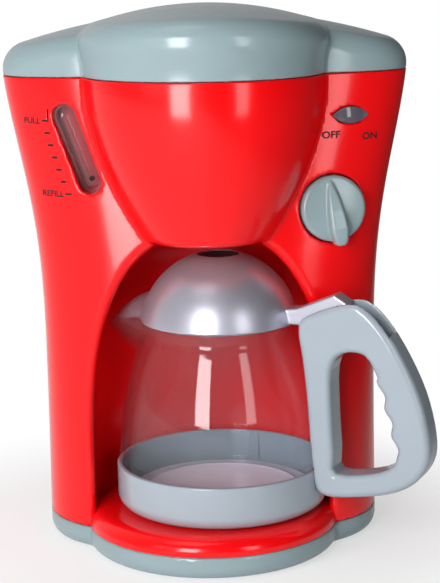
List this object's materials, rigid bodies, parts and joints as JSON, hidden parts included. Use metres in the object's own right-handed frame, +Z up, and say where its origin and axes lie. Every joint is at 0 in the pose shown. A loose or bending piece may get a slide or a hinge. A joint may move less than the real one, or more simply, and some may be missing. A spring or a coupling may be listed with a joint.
{
  "type": "toy coffee maker",
  "caption": "Toy drip coffee maker with a hinged tank cover, a turning on-off knob, a level gauge, and a lift-out clear carafe with grip handle and hinged lid.",
  "frame": {"origin": "centre of the machine's axis on the plane that it stands on", "axes": "+Z up, -Y towards the user (front), +X to the user's right"},
  "size_m": [0.1873, 0.146, 0.237],
  "materials": {
    "red_plastic": "gloss",
    "dark_red_plastic": "gloss",
    "grey_plastic": "gloss",
    "pale_grey_plastic": "gloss",
    "silver_plastic": "satin silver paint",
    "clear_plastic": "clear",
    "smoked_plastic": "gloss",
    "white_plastic": "matte",
    "black_plastic": "matte",
    "board": "matte",
    "hose_rubber": "matte",
    "cell_metal": "satin",
    "steel": "plated"
  },
  "bodies": {
    "machine": {"front_shell": "red_plastic", "rear_shell": "red_plastic", "alcove_liner": "red_plastic", "base": "grey_plastic", "warming_plate": "red_plastic", "cover_hinge_pins": "steel", "water_tank": "white_plastic", "tank_screws": "steel", "gauge_window": "clear_plastic", "gauge_backing": "dark_red_plastic", "gauge_hose": "hose_rubber", "indicator_lens": "smoked_plastic", "led_board": "board", "led_lamp": "clear_plastic", "valve_body": "white_plastic", "inlet_hose": "hose_rubber", "outlet_hose": "hose_rubber", "drip_nozzle": "black_plastic", "leaf_switch": "black_plastic", "battery_box": "black_plastic", "cells": "cell_metal", "battery_contacts": "steel", "battery_door": "red_plastic", "door_screw": "steel", "shell_screws": "steel", "base_screws": "steel"},
    "cover": {"top_cover": "grey_plastic"},
    "knob": {"control_knob": "grey_plastic", "knob_shaft": "white_plastic", "shaft_screw": "steel"},
    "carafe": {"carafe_cup": "pale_grey_plastic", "carafe_jug": "clear_plastic", "carafe_handle": "pale_grey_plastic", "lid_hinge_pin": "steel"},
    "lid": {"carafe_lid": "silver_plastic", "lid_drip_ring": "black_plastic"}
  },
  "joints": [
    {"name": "cover_hinge", "type": "hinge", "parent": "machine", "child": "cover", "pos_m": [0, 0.0736, 0.2072], "axis": [-1, 0, 0], "range_deg": [0, 85]},
    {"name": "knob_turn", "type": "hinge", "parent": "machine", "child": "knob", "pos_m": [0.0543, -0.0156, 0.1491], "axis": [-0.2076, 0.9768, -0.0523], "range_deg": [0, 35]},
    {"name": "carafe_slide", "type": "slide", "parent": "machine", "child": "carafe", "axis": [0, -1, 0], "range_m": [0, 0.15]},
    {"name": "lid_hinge", "type": "hinge", "parent": "carafe", "child": "lid", "pos_m": [0.04617, -0.03151, 0.1015], "axis": [0.4067, 0.9135, 0], "range_deg": [0, 4]}
  ]
}
